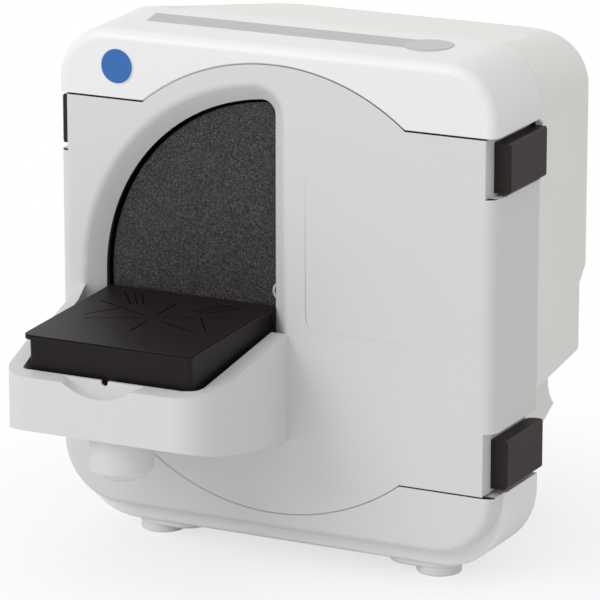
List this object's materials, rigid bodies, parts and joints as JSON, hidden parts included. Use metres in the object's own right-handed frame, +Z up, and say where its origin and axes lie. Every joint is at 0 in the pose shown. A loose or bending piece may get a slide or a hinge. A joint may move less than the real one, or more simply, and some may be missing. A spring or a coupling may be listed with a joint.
{
  "type": "dental model trimmer",
  "caption": "Bench trimmer that grinds plaster dental casts flat: a disc behind an arched window, a tilting table over a splash tray, and a hinged front door.",
  "frame": {"origin": "middle of the bounding box, on the surface that the feet stand on", "axes": "+Z up, +X to the right seen from the front, +Y towards the back; the door faces -Y"},
  "size_m": [0.313, 0.366, 0.3385],
  "materials": {
    "casing": "fine satin moulded plastic",
    "cap": "fine satin moulded plastic",
    "hood": "fine satin moulded plastic",
    "black_fittings": "satin moulded plastic",
    "table": "black anodised",
    "abrasive": "steel disc coated with abrasive grit",
    "silver": "machined",
    "steel": "plain machined steel",
    "strip": "satin film",
    "button": "satin moulded plastic",
    "sign_blue": "printed film",
    "rubber": "matt rubber",
    "seal": "matt rubber",
    "chamber": "moulded plastic",
    "bulkhead": "powder coated sheet",
    "motor_paint": "painted casting",
    "winding": "varnished laminations and copper",
    "grey_plastic": "moulded plastic",
    "tube": "flexible tube",
    "brass": "machined",
    "board": "lacquered board"
  },
  "bodies": {
    "housing": {"top_cap": "cap", "label_strip": "strip", "sign_disc": "sign_blue", "button_spring": "steel", "switch_block": "black_fittings", "rear_hood": "hood", "lower_front_panel": "casing", "base_frame": "casing", "feet": "rubber", "foot_screws": "steel", "rear_base": "hood", "bulkhead": "bulkhead", "spray_chamber": "chamber", "chamber_screws": "steel", "drain_pipe": "grey_plastic", "drain_elbow": "grey_plastic", "shaft_seal": "seal", "motor_flange": "motor_paint", "motor_screws": "steel", "front_bearing": "steel", "rear_bearing": "steel", "motor_body": "motor_paint", "stator": "winding", "fan_cowl": "motor_paint", "hinge_brackets": "steel", "hinge_pins": "steel", "bracket_screws": "steel", "spray_pipe": "grey_plastic", "water_inlet": "brass", "solenoid_valve": "black_fittings", "feed_tube": "tube", "run_capacitor": "grey_plastic", "control_board": "board", "mains_inlet": "black_fittings"},
    "door": {"front_door": "casing", "door_seal": "seal", "splash_tray": "casing", "tray_screws": "steel", "table_pins": "steel", "hinge_plates": "black_fittings"},
    "spindle": {"trimming_disc": "abrasive", "disc_carrier": "silver", "disc_screw": "steel", "motor_shaft": "steel", "rotor": "winding", "cooling_fan": "black_fittings"},
    "table": {"trimming_table": "table"},
    "height_screw": {"height_screw": "steel"},
    "height_knob": {"height_knob": "casing"},
    "upper_latch": {"upper_latch": "black_fittings"},
    "lower_latch": {"lower_latch": "black_fittings"},
    "power_button": {"power_button": "button"}
  },
  "joints": [
    {"name": "door_hinge", "type": "hinge", "parent": "housing", "child": "door", "pos_m": [0.1505, -0.004, 0.178], "axis": [0, 0, 1], "range_deg": [0, 100]},
    {"name": "upper_latch_hinge", "type": "hinge", "parent": "housing", "child": "upper_latch", "pos_m": [-0.1505, -0.004, 0.27225], "axis": [0, 0, -1], "range_deg": [0, 90]},
    {"name": "lower_latch_hinge", "type": "hinge", "parent": "housing", "child": "lower_latch", "pos_m": [-0.1505, -0.004, 0.08375], "axis": [0, 0, -1], "range_deg": [0, 90]},
    {"name": "table_tilt", "type": "hinge", "parent": "door", "child": "table", "pos_m": [-0.0615, -0.0755, 0.145], "axis": [1, 0, 0], "range_deg": [-2.58, 5.42]},
    {"name": "height_screw_lift", "type": "slide", "parent": "door", "child": "height_screw", "axis": [0, 0, 1], "range_m": [-0.00728, 0.00348]},
    {"name": "height_knob_turn", "type": "hinge", "parent": "door", "child": "height_knob", "pos_m": [-0.0615, -0.152, 0.0765], "axis": [0, 0, 1], "range_deg": [-156, 327]},
    {"name": "power_press", "type": "slide", "parent": "housing", "child": "power_button", "axis": [0, 0, -1], "range_m": [0, 0.002], "stiffness_N_per_m": 600, "springref_m": -0.003, "deforming": ["button_spring"]},
    {"name": "disc_spin", "type": "hinge", "parent": "housing", "child": "spindle", "pos_m": [0, -0.0535, 0.1765], "axis": [0, 1, 0], "continuous": true}
  ],
  "couplings": [
    {"joint": "height_screw_lift", "follows": "table_tilt", "m_per_rad": -0.0765},
    {"joint": "height_knob_turn", "follows": "table_tilt", "ratio": 60.08}
  ]
}
